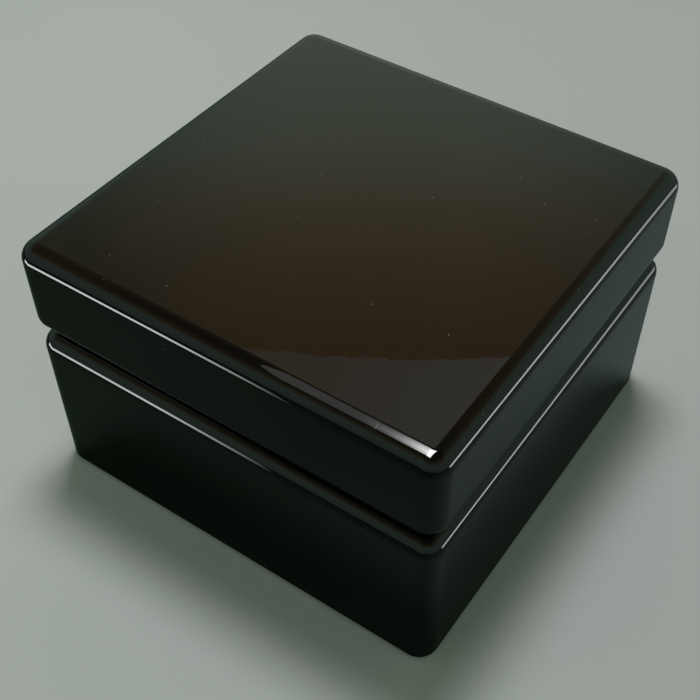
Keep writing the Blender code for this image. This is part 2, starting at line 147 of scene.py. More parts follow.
# Soft pieces
SAME_POINT = 1e-7
PAD_RIM_STEPS = 6
PAD_STEPS = 160
VELVET_STEPS = 192
FELT_EDGE = 0.5 * MM
FELT_CORNER = 2.2 * MM
FELT_FUZZ = 0.08 * MM
VELVET_EDGE = 0.35 * MM
VELVET_CORNER = 1.0 * MM
VELVET_LUMP = 0.25 * MM
DECK_HOLE = 38.7 * MM
LINING_EDGE = 0.6 * MM
LINING_SWELL = 0.35 * MM
LINING_SWELL_WIDTH = 2.0 * MM
SCREW_HOLE = 0.8 * MM
DRILL_LENGTH = 20.0 * MM
POWDER_FOOT = 2.0 * MM
POWDER_RINGS = 26
POWDER_STEPS = 96
POWDER_DRIFTS = ((70.0, 1.2 * MM, 0.0), (230.0, 0.45 * MM, 5.0))
POWDER_RIDGE = 0.8 * MM
POWDER_RIDGE_FROM = 0.86
POWDER_HOLLOW_AT = (7.0 * MM, -9.0 * MM)
POWDER_HOLLOW = 2.6 * MM
POWDER_HOLLOW_REACH = 13.0 * MM
POWDER_DROP = 1.2 * MM
NET_PITCH = 1.3 * MM
NET_THREAD = 0.42 * MM
NET_THICK = 0.24 * MM
THREAD_SIDES = 6
SIM_SCALE = 10.0
PUFF_SEAM_AT = 0.40
PUFF_FLATNESS = 7.0
PUFF_START = 0.85
PUFF_UNEVEN = 0.10
PUFF_STITCHES = 44
PUFF_RINGS = 20
PUFF_PUCKER = 0.2 * MM
PUFF_PUCKER_REACH = 1.3 * MM
PUFF_NAP = 0.03
PUFF_NAP_SCALE = 9.0
PUFF_PRESSURE = 3.0
PUFF_FRAMES = 20
RIBBON_HALF = 5.5 * MM
RIBBON_THICKNESS = 0.3 * MM
RIBBON_LIFT = 0.35 * MM
RIBBON_TWIST = 0.05
RIBBON_CREASE = 0.15 * MM
RIBBON_CUP = 0.35 * MM
RIBBON_WAIST = 0.05
RIBBON_STEPS = 12
RIBBON_COLUMNS = 10
RIBBON_LYING = (0.9 * MM, 1.6 * MM, 2.8 * MM, 4.5 * MM)
RIBBON_LOOP = ((0.62, 2.0 * MM), (0.32, 0.6 * MM))


def link(obj):
    SCENE.collection.objects.link(obj)
    return obj


def facing(back):
    """The turn that makes an object's -Z axis point against the direction back."""
    return (-back).to_track_quat("-Z", "Y")


def make_camera():
    data = bpy.data.cameras.new("camera")
    camera = link(bpy.data.objects.new("camera", data))
    back = direction(CAMERA_AZIMUTH, CAMERA_ELEVATION)
    camera.location = CAMERA_AIM + back * CAMERA_DISTANCE
    camera.rotation_mode = "QUATERNION"
    camera.rotation_quaternion = facing(back) @ Quaternion((0, 0, 1), math.radians(CAMERA_ROLL))
    data.lens = CAMERA_LENS
    data.sensor_width = 36.0
    data.shift_x, data.shift_y = CAMERA_SHIFT
    data.clip_start = 0.01
    data.clip_end = 20.0
    SCENE.camera = camera


class Material:
    """One node material. Each method adds a node, joins its inputs and returns its output."""

    def __init__(self, name):
        self.made = bpy.data.materials.new(name)
        self.made.use_nodes = True
        self.tree = self.made.node_tree
        self.shader = self.tree.nodes["Principled BSDF"]
        self.out = self.tree.nodes["Material Output"]
        self.place = self.add("ShaderNodeTexCoord").outputs["Object"]

    def add(self, kind, inputs=None, **settings):
        node = self.tree.nodes.new(kind)
        for name, value in settings.items():
            setattr(node, name, value)
        for name, value in (inputs or {}).items():
            self.put(node.inputs[name], value)
        return node

    def put(self, socket, value):
        if isinstance(value, bpy.types.NodeSocket):
            self.tree.links.new(value, socket)
        elif isinstance(value, (tuple, list)) and len(value) == 3 and socket.type == "RGBA":
            socket.default_value = (*value, 1.0)
        else:
            socket.default_value = value

    def set(self, **values):
        """Sets or joins the shader's own sockets, named with underscores for spaces."""
        for name, value in values.items():
            self.put(self.shader.inputs[name.replace("_", " ")], value)
        return self

    def stretched(self, scale, turn=(0.0, 0.0, 0.0), place=None):
        """The object's coordinates, scaled and turned, in degrees."""
        inputs = {"Vector": place or self.place, "Scale": scale}
        inputs["Rotation"] = tuple(math.radians(a) for a in turn)
        return self.add("ShaderNodeMapping", inputs).outputs[0]

    def noise(self, scale, detail=2.0, rough=0.5, place=None, distortion=0.0):
        inputs = {"Vector": place or self.place, "Scale": scale, "Detail": detail}
        inputs |= {"Roughness": rough, "Distortion": distortion}
        return self.add("ShaderNodeTexNoise", inputs).outputs["Fac"]

    def cells(self, scale, place=None, feature="F1", randomness=1.0):
        inputs = {"Vector": place or self.place, "Scale": scale, "Randomness": randomness}
        return self.add("ShaderNodeTexVoronoi", inputs, feature=feature).outputs["Distance"]

    def wave(self, scale, axis="X", place=None, distortion=0.0, detail_scale=1.0):
        inputs = {"Vector": place or self.place, "Scale": scale, "Distortion": distortion}
        inputs["Detail Scale"] = detail_scale
        node = self.add("ShaderNodeTexWave", inputs, wave_type="BANDS", bands_direction=axis)
        return node.outputs["Fac"]

    def ramp(self, value, low, high, start=0.0, end=1.0):
        """Maps low..high to start..end, clamped."""
        inputs = {"Value": value, "From Min": low, "From Max": high, "To Min": start, "To Max": end}
        return self.add("ShaderNodeMapRange", inputs, clamp=True).outputs[0]

    def math(self, operation, first, second=0.0):
        node = self.add("ShaderNodeMath", operation=operation)
        self.put(node.inputs[0], first)
        self.put(node.inputs[1], second)
        return node.outputs[0]

    def mix(self, share, first, second):
        """A colour between two colours."""
        node = self.add("ShaderNodeMix", data_type="RGBA")
        self.put(node.inputs["Factor"], share)
        self.put(node.inputs[6], first)
        self.put(node.inputs[7], second)
        return node.outputs[2]

    def bump(self, height, distance, strength=1.0, under=None):
        inputs = {"Height": height, "Distance": distance, "Strength": strength}
        if under is not None:
            inputs["Normal"] = under
        return self.add("ShaderNodeBump", inputs).outputs[0]


def hairlines(m, scale, width, turns):
    """Thin straight scratches in several directions, broken up by noise."""
    total = None
    for index, turn in enumerate(turns):
        place = m.stretched((1.0, 0.06, 1.0), (0.0, 0.0, turn))
        cells = m.cells(scale * (1.0 + 0.37 * index), place, "DISTANCE_TO_EDGE")
        line = m.ramp(cells, 0.0, width, 1.0, 0.0)
        patch = m.ramp(m.noise(70.0 + 23.0 * index, 1.0), 0.52, 0.62)
        line = m.math("MULTIPLY", line, patch)
        total = line if total is None else m.math("MAXIMUM", total, line)
    return total


def specks(m, scale, size, share):
    """Small round dots, scattered where a noise is over share."""
    dots = m.ramp(m.cells(scale), size * 0.5, size, 1.0, 0.0)
    return m.math("MULTIPLY", dots, m.ramp(m.noise(scale * 0.31, 1.0), share, share + 0.05))


def lacquer():
    """Polished black lacquer: brown undertone, orange peel, hairlines, smudges, worn edges, dust."""
    m = Material("black_lacquer_finish")
    tone = m.ramp(m.noise(24.0, 3.0), 0.3, 0.7)
    body = m.mix(tone, (0.0020, 0.0018, 0.0017), (0.0040, 0.0026, 0.0020))
    dust = specks(m, 420.0, 0.10, 0.60)
    body = m.mix(m.math("MULTIPLY", dust, 0.5), body, (0.10, 0.10, 0.09))
    split = m.add("ShaderNodeSeparateXYZ", {"Vector": m.place})
    across = m.math("ABSOLUTE", split.outputs["X"])
    along = m.math("ABSOLUTE", split.outputs["Y"])
    rim = m.ramp(m.math("MAXIMUM", across, along), *(cad_high.x - inset for inset in RUBBED_RIM))
    rubbed = m.math("MULTIPLY", rim, m.ramp(m.noise(310.0, 4.0, 0.7), 0.56, 0.70))
    smudge = m.ramp(m.noise(38.0, 4.0, 0.6), 0.45, 0.75)
    rough = m.ramp(smudge, 0.0, 1.0, 0.008, 0.030)
    scratches = hairlines(m, 160.0, 0.012, (8.0, 71.0, 129.0))
    rough = m.math("MAXIMUM", rough, m.math("MULTIPLY", scratches, 0.16))
    rough = m.math("MAXIMUM", rough, m.math("MULTIPLY", rubbed, 0.09))
    rough = m.math("MAXIMUM", rough, m.math("MULTIPLY", dust, 0.6))
    peel = m.bump(m.noise(260.0, 2.0, 0.45), 0.000008, 0.5)
    waves = m.bump(m.noise(75.0, 1.0), 0.00002, 0.5, peel)
    return m.set(Base_Color=body, Roughness=rough, Normal=waves, IOR=1.5).made


def neck_black():
    """Satin black over fine wood grain, rubbed a little along the grain."""
    m = Material("neck_black_finish")
    grain = m.noise(900.0, 4.0, 0.6, m.stretched((1.0, 1.0, 0.05)))
    pores = m.ramp(m.noise(2600.0, 2.0, 0.5, m.stretched((1.0, 1.0, 0.09))), 0.60, 0.72)
    body = m.mix(grain, (0.006, 0.0055, 0.005), (0.016, 0.013, 0.011))
    rough = m.ramp(grain, 0.3, 0.7, 0.34, 0.50)
    height = m.math("SUBTRACT", m.math("MULTIPLY", grain, 0.6), pores)
    return m.set(Base_Color=body, Roughness=rough, Normal=m.bump(height, 0.00004, 0.5)).made


def greyboard():
    """Pressed grey board: short fibres, dark and pale flecks, and plies that show on its edges."""
    m = Material("greyboard_finish")
    pulp = m.noise(420.0, 5.0, 0.65)
    fibres = m.noise(1500.0, 3.0, 0.6, m.stretched((1.0, 0.18, 1.0), (0.0, 0.0, 33.0)))
    plies = m.wave(620.0, "Z", distortion=1.5, detail_scale=3.0)
    body = m.mix(pulp, (0.19, 0.17, 0.145), (0.36, 0.33, 0.28))
    body = m.mix(m.math("MULTIPLY", plies, 0.18), body, (0.12, 0.105, 0.09))
    body = m.mix(specks(m, 900.0, 0.22, 0.55), body, (0.07, 0.06, 0.05))
    height = m.math("ADD", fibres, m.math("MULTIPLY", plies, 0.3))
    rough = m.ramp(pulp, 0.3, 0.7, 0.78, 0.94)
    return m.set(Base_Color=body, Roughness=rough, Normal=m.bump(height, 0.00005, 0.6)).made


def ivory_plastic():
    """Moulded ivory plastic: faint flow marks, hairlines and a little powder dust in patches."""
    m = Material("ivory_plastic_finish")
    flow = m.noise(34.0, 3.0, 0.5, m.stretched((1.0, 1.0, 0.4)), 1.2)
    body = m.mix(flow, (0.78, 0.70, 0.55), (0.84, 0.77, 0.64))
    powdery = m.ramp(m.noise(190.0, 4.0, 0.65), 0.54, 0.72)
    body = m.mix(m.math("MULTIPLY", powdery, 0.35), body, (0.86, 0.66, 0.54))
    rough = m.ramp(m.noise(60.0, 3.0), 0.3, 0.7, 0.16, 0.27)
    scratches = hairlines(m, 210.0, 0.02, (20.0, 95.0))
    rough = m.math("MAXIMUM", rough, m.math("MULTIPLY", scratches, 0.45))
    rough = m.math("MAXIMUM", rough, m.math("MULTIPLY", powdery, 0.6))
    m.set(Base_Color=body, Roughness=rough, Normal=m.bump(m.noise(700.0, 2.0), 0.00001, 0.4))
    m.set(Subsurface_Weight=0.12, Subsurface_Radius=(0.002, 0.0014, 0.0008), Subsurface_Scale=1.0)
    return m.made


def brass():
    """Drawn brass: brushed lines, a warm tarnish in patches, and small dark pits."""
    m = Material("brass_finish")
    tarnish = m.ramp(m.noise(130.0, 4.0, 0.62), 0.38, 0.74)
    body = m.mix(tarnish, (0.80, 0.58, 0.27), (0.48, 0.29, 0.11))
    pits = specks(m, 1300.0, 0.22, 0.60)
    body = m.mix(pits, body, (0.16, 0.09, 0.04))
    brushed = m.noise(5200.0, 3.0, 0.6, m.stretched((0.02, 1.0, 1.0)))
    rough = m.ramp(brushed, 0.3, 0.7, 0.17, 0.30)
    rough = m.math("ADD", rough, m.math("MULTIPLY", tarnish, 0.14))
    height = m.math("SUBTRACT", brushed, m.math("MULTIPLY", pits, 2.0))
    m.set(Base_Color=body, Roughness=rough, Normal=m.bump(height, 0.000006, 0.6))
    return m.set(Metallic=1.0).made


def steel():
    """A drawn steel pin: fine lines along it and a faint brown bloom."""
    m = Material("steel_finish")
    drawn = m.noise(6000.0, 3.0, 0.6, m.stretched((0.015, 1.0, 1.0)))
    bloom = m.ramp(m.noise(700.0, 3.0), 0.5, 0.8)
    body = m.mix(m.math("MULTIPLY", bloom, 0.5), (0.56, 0.56, 0.57), (0.32, 0.25, 0.19))
    m.set(Base_Color=body, Roughness=m.ramp(drawn, 0.3, 0.7, 0.20, 0.38))
    return m.set(Normal=m.bump(drawn, 0.000005, 0.5), Metallic=1.0).made


def mirror():
    """Silvered glass with finger smudges, powder dust and a very slight waviness."""
    m = Material("mirror_finish")
    smudge = m.ramp(m.noise(26.0, 3.0, 0.5), 0.40, 0.80)
    dust = specks(m, 700.0, 0.16, 0.56)
    body = m.mix(m.math("MULTIPLY", dust, 0.7), (0.86, 0.89, 0.88), (0.62, 0.55, 0.50))
    rough = m.ramp(smudge, 0.0, 1.0, 0.006, 0.022)
    rough = m.math("MAXIMUM", rough, m.math("MULTIPLY", dust, 0.5))
    m.set(Base_Color=body, Roughness=rough, Normal=m.bump(m.noise(20.0, 1.0), 0.000003, 0.5))
    return m.set(Metallic=1.0).made


def felt():
    """Dark pressed felt: tangled short fibres with a few pale ones."""
    m = Material("felt_finish")
    tangle = m.noise(2100.0, 5.0, 0.7, distortion=2.5)
    clumps = m.noise(260.0, 3.0)
    body = m.mix(tangle, (0.010, 0.012, 0.011), (0.042, 0.046, 0.042))
    body = m.mix(m.math("MULTIPLY", m.ramp(tangle, 0.68, 0.76), 0.35), body, (0.16, 0.16, 0.15))
    height = m.math("ADD", tangle, m.math("MULTIPLY", clumps, 0.8))
    m.set(Base_Color=body, Roughness=m.ramp(clumps, 0.3, 0.7, 0.88, 1.0))
    m.set(Normal=m.bump(height, 0.00016, 0.7), Sheen_Weight=0.25, Sheen_Roughness=0.6)
    return m.made


def velvet():
    """Wine-red cotton velvet: short upright pile, brushed darker and lighter in soft patches."""
    m = Material("velvet_finish")
    pile = m.noise(4200.0, 3.0, 0.65)
    brushed = m.noise(55.0, 4.0, 0.55, m.stretched((1.0, 0.45, 1.0), (0.0, 0.0, 25.0)), 0.8)
    patch = m.ramp(brushed, 0.36, 0.66)
    body = m.mix(patch, (0.075, 0.0042, 0.0080), (0.160, 0.0095, 0.0160))
    body = m.mix(m.math("MULTIPLY", pile, 0.45), body, (0.030, 0.0015, 0.0030))
    lint = specks(m, 1100.0, 0.12, 0.64)
    body = m.mix(m.math("MULTIPLY", lint, 0.5), body, (0.45, 0.33, 0.30))
    height = m.math("ADD", pile, m.math("MULTIPLY", brushed, 1.5))
    m.set(Base_Color=body, Roughness=m.ramp(pile, 0.3, 0.7, 0.82, 0.97))
    m.set(Normal=m.bump(height, 0.00014, 0.6), Sheen_Weight=0.55, Sheen_Roughness=0.35)
    return m.set(Sheen_Tint=(0.75, 0.16, 0.20)).made


def face_powder():
    """Loose rose-beige powder: fine grain, soft clods and paler drifts."""
    m = Material("face_powder_finish")
    clods = m.noise(330.0, 5.0, 0.68)
    grain = m.noise(5200.0, 2.0, 0.7)
    body = m.mix(m.ramp(clods, 0.35, 0.68), (0.66, 0.42, 0.31), (0.82, 0.60, 0.47))
    body = m.mix(m.math("MULTIPLY", m.ramp(grain, 0.62, 0.75), 0.5), body, (0.92, 0.78, 0.68))
    height = m.math("ADD", m.math("MULTIPLY", grain, 0.35), clods)
    m.set(Base_Color=body, Roughness=m.ramp(clods, 0.3, 0.7, 0.86, 1.0))
    return m.set(Normal=m.bump(height, 0.00030, 0.7)).made


def nylon_net():
    """Ivory nylon threads with a twist in them, dusted with powder."""
    m = Material("net_finish")
    twist = m.wave(2600.0, "DIAGONAL", distortion=0.6)
    dusting = m.ramp(m.noise(240.0, 4.0), 0.45, 0.70)
    body = m.mix(twist, (0.70, 0.62, 0.50), (0.86, 0.80, 0.70))
    body = m.mix(m.math("MULTIPLY", dusting, 0.6), body, (0.82, 0.60, 0.47))
    m.set(Base_Color=body, Roughness=m.ramp(dusting, 0.0, 1.0, 0.45, 0.85))
    return m.set(Normal=m.bump(twist, 0.00004, 0.5)).made


def plush():
    """Blush-pink cotton plush: a dense nap in small tufts, with powder worked into it."""
    m = Material("plush_finish")
    nap = m.noise(3400.0, 4.0, 0.7)
    tufts = m.noise(620.0, 4.0, 0.6, distortion=0.8)
    worked = m.ramp(m.noise(48.0, 4.0, 0.6), 0.42, 0.70)
    body = m.mix(m.ramp(tufts, 0.3, 0.7), (0.68, 0.40, 0.36), (0.86, 0.63, 0.57))
    body = m.mix(m.math("MULTIPLY", worked, 0.55), body, (0.84, 0.64, 0.52))
    body = m.mix(m.math("MULTIPLY", m.ramp(nap, 0.60, 0.74), 0.5), body, (0.93, 0.80, 0.75))
    height = m.math("ADD", m.math("MULTIPLY", nap, 0.5), tufts)
    m.set(Base_Color=body, Roughness=m.ramp(nap, 0.3, 0.7, 0.86, 1.0))
    m.set(Normal=m.bump(height, 0.00032, 0.75), Sheen_Weight=0.45, Sheen_Roughness=0.45)
    return m.set(Sheen_Tint=(1.0, 0.86, 0.82)).made


def satin():
    """Rose satin ribbon: fine cross ribs, a bright glide along the warp, and firmer woven edges."""
    m = Material("satin_finish")
    ribs = m.wave(1700.0, "X", distortion=0.15)
    warp = m.noise(5200.0, 2.0, 0.5, m.stretched((0.03, 1.0, 1.0)))
    tone = m.noise(90.0, 3.0)
    body = m.mix(tone, (0.50, 0.115, 0.150), (0.66, 0.190, 0.225))
    split = m.add("ShaderNodeSeparateXYZ", {"Vector": m.place})
    sideways = m.math("ABSOLUTE", split.outputs["Y"])
    edge = m.ramp(sideways, *(RIBBON_HALF - inset for inset in RIBBON_SELVAGE))
    body = m.mix(m.math("MULTIPLY", edge, 0.5), body, (0.36, 0.075, 0.105))
    rough = m.math("ADD", m.ramp(warp, 0.3, 0.7, 0.24, 0.38), m.math("MULTIPLY", edge, 0.25))
    height = m.math("ADD", m.math("MULTIPLY", ribs, 0.7), warp)
    m.set(Base_Color=body, Roughness=rough, Normal=m.bump(height, 0.00002, 0.6))
    return m.set(Anisotropic=0.5, Sheen_Weight=0.15, Sheen_Roughness=0.3).made


def smooth_by_angle(angle):
    """A geometry modifier's tree: joins the faces' points, and shades all but sharp edges smooth."""
    tree = bpy.data.node_groups.new("smooth_by_angle", "GeometryNodeTree")
    tree.interface.new_socket("Geometry", in_out="INPUT", socket_type="NodeSocketGeometry")
    tree.interface.new_socket("Geometry", in_out="OUTPUT", socket_type="NodeSocketGeometry")
    made = {}
    for name, kind in (
        ("start", "NodeGroupInput"),
        ("bare", "GeometryNodeRemoveAttribute"),
        ("merge", "GeometryNodeMergeByDistance"),
        ("faces", "GeometryNodeSetShadeSmooth"),
        ("angle", "GeometryNodeInputMeshEdgeAngle"),
        ("flat_enough", "FunctionNodeCompare"),
        ("edges", "GeometryNodeSetShadeSmooth"),
        ("end", "NodeGroupOutput"),
    ):
        made[name] = tree.nodes.new(kind)
    made["bare"].inputs["Name"].default_value = "custom_normal"
    made["merge"].inputs["Distance"].default_value = SMOOTH_MERGE
    made["edges"].domain = "EDGE"
    made["flat_enough"].data_type = "FLOAT"
    made["flat_enough"].operation = "LESS_EQUAL"
    made["flat_enough"].inputs[1].default_value = math.radians(angle)
    chain = ("start", "bare", "merge", "faces", "edges", "end")
    for first, second in zip(chain, chain[1:]):
        tree.links.new(made[first].outputs[0], made[second].inputs[0])
    tree.links.new(made["angle"].outputs["Unsigned Angle"], made["flat_enough"].inputs[0])
    tree.links.new(made["flat_enough"].outputs[0], made["edges"].inputs["Shade Smooth"])
    return tree


SMOOTH = smooth_by_angle(SMOOTH_ANGLE)


def finish_node(name, material):
    """Gives a CAD node its finish, and shades its rounded faces smooth with flats kept flat."""
    obj = NODES[name]
    for material_slot in obj.material_slots:
        material_slot.material = material
    smooth = obj.modifiers.new("smooth", "NODES")
    smooth.node_group = SMOOTH
    weighted = obj.modifiers.new("weighted", "WEIGHTED_NORMAL")
    weighted.mode = "FACE_AREA"
    weighted.weight = 50
    weighted.keep_sharp = True


def card(name, centre, size, strength, colour):
    """A soft light of one rectangle, turned towards the box."""
    data = bpy.data.lights.new(name, "AREA")
    data.shape = "RECTANGLE"
    data.size, data.size_y = size
    data.energy = strength
    data.color = colour
    obj = link(bpy.data.objects.new(name, data))
    obj.location = centre
    obj.rotation_mode = "QUATERNION"
    obj.rotation_quaternion = (LAMP_AIM - centre).to_track_quat("-Z", "Y")
    obj.visible_camera = False
    return obj


def make_floor():
    """A pale floor with painted shade. It is painted darker towards the back right, and in sharp
    reflections it is painted much darker, as painted shade in place of black flags round it.
    """
    bm = bmesh.new()
    bmesh.ops.create_grid(bm, x_segments=1, y_segments=1, size=FLOOR_HALF)
    mesh = bpy.data.meshes.new("floor")
    bm.to_mesh(mesh)
    bm.free()
    floor = link(bpy.data.objects.new("floor", mesh))
    m = Material("floor_with_painted_shade")
    mirrored = m.add("ShaderNodeLightPath").outputs["Is Glossy Ray"]
    axes = m.add("ShaderNodeSeparateXYZ", {"Vector": m.place})
    backwards = m.math("ADD", axes.outputs["X"], axes.outputs["Y"])
    # Painted shade: the colour seen in sharp reflections is painted much darker, and both colours are
    # painted darker towards the back right
    painted_reflection_shade = m.mix(m.ramp(backwards, *FLOOR_PAINTED_SHADE_TURNS_AT), *FLOOR_PAINTED_SHADE_IN_REFLECTIONS)
    seen = m.mix(m.ramp(backwards, *FLOOR_PAINTED_SHADE_TURNS_AT), *FLOOR_COLOURS_WITH_PAINTED_SHADE)
    m.set(Base_Color=m.mix(mirrored, seen, painted_reflection_shade), Roughness=0.8)
    m.set(Specular_IOR_Level=0.1)
    mesh.materials.append(m.made)


def emitting_sheet(name, rows, fade_axis, fade, colours, sharpness=1.0, clear=True):
    """A glowing sheet between rows of points, unseen by the camera. It fades along one axis."""
    bm = bmesh.new()
    made = [[bm.verts.new(point) for point in row] for row in rows]
    if len(made) == 1:
        bm.faces.new(made[0])
        bmesh.ops.triangulate(bm, faces=bm.faces)
    for low, high in zip(made, made[1:]):
        for i in range(len(low) - 1):
            bm.faces.new((low[i], low[i + 1], high[i + 1], high[i]))
    mesh = bpy.data.meshes.new(name)
    bm.to_mesh(mesh)
    bm.free()
    sheet = link(bpy.data.objects.new(name, mesh))
    sheet.visible_camera = False
    m = Material(name + "_light")
    emission = m.add("ShaderNodeEmission")
    axes = m.add("ShaderNodeSeparateXYZ", {"Vector": m.place})
    glow = m.math("POWER", m.ramp(axes.outputs[fade_axis], *fade), sharpness)
    m.put(emission.inputs["Color"], m.mix(glow, *colours))
    glowing = m.add("ShaderNodeAddShader")
    m.put(glowing.inputs[0], emission.outputs[0])
    if clear:
        m.put(glowing.inputs[1], m.add("ShaderNodeBsdfTransparent").outputs[0])
    m.put(m.out.inputs["Surface"], glowing.outputs[0])
    mesh.materials.append(m.made)
    return sheet


def make_panel():
    """A wide soft panel overhead. Its curved back edge shows in the lid near the front corner."""
    outline = [Vector((x, y, PANEL_HEIGHT)) for x, y in PANEL_EDGE + PANEL_OUTER]
    emitting_sheet("panel", [outline], "X", PANEL_FADE, PANEL_COLOURS, clear=False)


def make_strip(name, azimuths, distances, heights, level, fade, dim):
    """A low upright strip of light near the floor, only for reflections. It fades with X."""
    rows = ([], [])
    for i in range(STRIP_STEPS + 1):
        share = i / STRIP_STEPS
        distance = distances[0] + (distances[1] - distances[0]) * share
        place = direction(azimuths[0] + (azimuths[1] - azimuths[0]) * share, 0.0) * distance
        for row, height in zip(rows, heights):
            row.append(place + Vector((0.0, 0.0, height)))
    low, high = min(p.x for p in rows[0]), max(p.x for p in rows[0])
    ends = tuple(low + (high - low) * share for share in fade)
    bright = tuple(level * value for value in STRIP_COLOUR)
    dark = tuple(dim * value for value in bright)
    strip = emitting_sheet(name, rows, "X", ends, (dark, bright))
    strip.visible_diffuse = False
    return strip


def make_world():
    """A dim room, brighter behind and to the left: grey-green low down, and warm brown higher up."""
    world = bpy.data.worlds.new("world")
    SCENE.world = world
    world.use_nodes = True
    tree = world.node_tree
    background = tree.nodes["Background"]
    place = tree.nodes.new("ShaderNodeTexCoord")
    split = tree.nodes.new("ShaderNodeSeparateXYZ")
    tree.links.new(place.outputs["Generated"], split.inputs[0])
    ramp = tree.nodes.new("ShaderNodeValToRGB")
    tree.links.new(split.outputs["Z"], ramp.inputs[0])
    for index, (elevation, colour) in enumerate(ROOM_COLOURS):
        elements = ramp.color_ramp.elements
        element = elements[index] if index < 2 else elements.new(1.0)
        element.position = math.sin(math.radians(elevation))
        element.color = (*colour, 1.0)
    towards = tree.nodes.new("ShaderNodeVectorMath")
    towards.operation = "DOT_PRODUCT"
    towards.inputs[1].default_value = direction(*ROOM_BRIGHT_SIDE)
    tree.links.new(place.outputs["Generated"], towards.inputs[0])
    level = tree.nodes.new("ShaderNodeMapRange")
    level.interpolation_type = "SMOOTHSTEP"
    level.inputs["From Min"].default_value = ROOM_DIM_AT
    level.inputs["From Max"].default_value = ROOM_BRIGHT_AT
    level.inputs["To Min"].default_value = ROOM_DIM_LEVEL
    tree.links.new(towards.outputs["Value"], level.inputs["Value"])
    level_place = tree.nodes.new("ShaderNodeVectorMath")
    level_place.operation = "MULTIPLY"
    level_place.inputs[1].default_value = (1.0, 1.0, 0.0)
    tree.links.new(place.outputs["Generated"], level_place.inputs[0])
    heading = tree.nodes.new("ShaderNodeVectorMath")
    heading.operation = "NORMALIZE"
    tree.links.new(level_place.outputs[0], heading.inputs[0])
    beside = tree.nodes.new("ShaderNodeVectorMath")
    beside.operation = "DOT_PRODUCT"
    beside.inputs[1].default_value = direction(WINDOW_AZIMUTH, 0.0)
    tree.links.new(heading.outputs[0], beside.inputs[0])
    window = tree.nodes.new("ShaderNodeMapRange")
    window.inputs["From Min"].default_value = math.cos(math.radians(WINDOW_HALF_WIDTHS[0]))
    window.inputs["From Max"].default_value = math.cos(math.radians(WINDOW_HALF_WIDTHS[1]))
    tree.links.new(beside.outputs["Value"], window.inputs["Value"])
    tint = tree.nodes.new("ShaderNodeMix")
    tint.data_type = "RGBA"
    tint.inputs[6].default_value = (*BESIDE_WINDOW, 1.0)
    tint.inputs[7].default_value = (1.0, 1.0, 1.0, 1.0)
    tree.links.new(window.outputs[0], tint.inputs["Factor"])
    tinted = tree.nodes.new("ShaderNodeMix")
    tinted.data_type = "RGBA"
    tinted.blend_type = "MULTIPLY"
    tinted.inputs["Factor"].default_value = 1.0
    tree.links.new(ramp.outputs[0], tinted.inputs[6])
    tree.links.new(tint.outputs[2], tinted.inputs[7])
    tree.links.new(tinted.outputs[2], background.inputs["Color"])
    tree.links.new(level.outputs[0], background.inputs["Strength"])


def light_only_shells(lights):
    """Lets lights fall on the lacquered shells alone, so the open lid's mirror doesn't show them."""
    shells = bpy.data.collections.new("lit_shells")
    for name in ("base_shell", "lid_shell"):
        shells.objects.link(NODES[name])
    for light in lights:
        light.light_linking.receiver_collection = shells


def make_lights():
    """A lamp nearly overhead, a glint for the front corner, and low strips in front and at the right."""
    overhead = card("lamp_above", LAMP_AT, LAMP_SIZE, LAMP_POWER, LAMP_COLOUR)
    overhead.visible_glossy = False
    (left, right), (near, far) = GLINT_X, GLINT_Y
    corners = [(left, near), (right, near), (right, far), (left, far)]
    outline = [Vector((x, y, GLINT_HEIGHT)) for x, y in corners]
    levels = tuple((level, level, level) for level in GLINT_LEVELS)
    glint = emitting_sheet("glint", [outline], "X", GLINT_FADE, levels, GLINT_SHARPNESS)
    glint.visible_diffuse = False
    glint.visible_shadow = False
    strips = [make_strip("strip_front_left", **FRONT_STRIP), make_strip("strip_right", **RIGHT_STRIP)]
    light_only_shells([glint] + strips)


def piece(name, bm, material, slot, body, *nodes):
    """A finished piece from a bmesh. It takes the place of CAD nodes and moves with a body."""
    mesh = bpy.data.meshes.new(name)
    bm.to_mesh(mesh)
    bm.free()
    mesh.materials.append(material)
    mesh.shade_smooth()
    obj = link(bpy.data.objects.new(name, mesh))
    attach(obj, body)
    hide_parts(*nodes)
    return obj


def square_reach(angle, half, corner):
    """How far a square with rounded corners reaches from its centre, at an angle."""
    across, along = abs(math.cos(angle)), abs(math.sin(angle))
    straight = half / max(across, along)
    if straight * min(across, along) <= half - corner:
        return straight
    middle = half - corner
    ahead = (across + along) * middle
    return ahead + math.sqrt(max(0.0, ahead * ahead - 2 * middle * middle + corner * corner))


def swept(rows, steps, place):
    """A closed surface of rings. place(row, angle) is a point. A ring with no reach is one point."""
    bm = bmesh.new()
    rings = []
    for row in rows:
        points = [place(row, math.tau * i / steps) for i in range(steps)]
        if all((point - points[0]).length < SAME_POINT for point in points):
            rings.append([bm.verts.new(points[0])] * steps)
        else:
            rings.append([bm.verts.new(point) for point in points])
    if rows[0] == rows[-1]:
        rings[-1] = rings[0]
    for first, second in zip(rings, rings[1:]):
        for i in range(steps):
            j = (i + 1) % steps
            corners = [first[i], first[j], second[j], second[i]]
            face = [v for k, v in enumerate(corners) if v is not corners[k - 1]]
            if len(face) > 2:
                bm.faces.new(face)
    bmesh.ops.recalc_face_normals(bm, faces=bm.faces)
    return bm


def lumps(x, y, scale, height, seed=0.0):
    """A smooth uneven height over the plane."""
    return height * noise.noise(Vector((x * scale, y * scale, seed)))


def pad_rows(low, high, edge, count=14):
    """Rows of (share of reach, inset, height) over a soft pad's top, round its edge and back under."""
    shares = [i / count for i in range(count)]
    top = [(share, edge, high) for share in shares]
    middle = (low + high) / 2
    half = (high - low) / 2
    turns = [math.pi * i / PAD_RIM_STEPS for i in range(PAD_RIM_STEPS + 1)]
    rim = [(1.0, edge * (1.0 - math.sin(turn)), middle + half * math.cos(turn)) for turn in turns]
    under = [(share, edge, low) for share in reversed(shares)]
    return top + rim + under


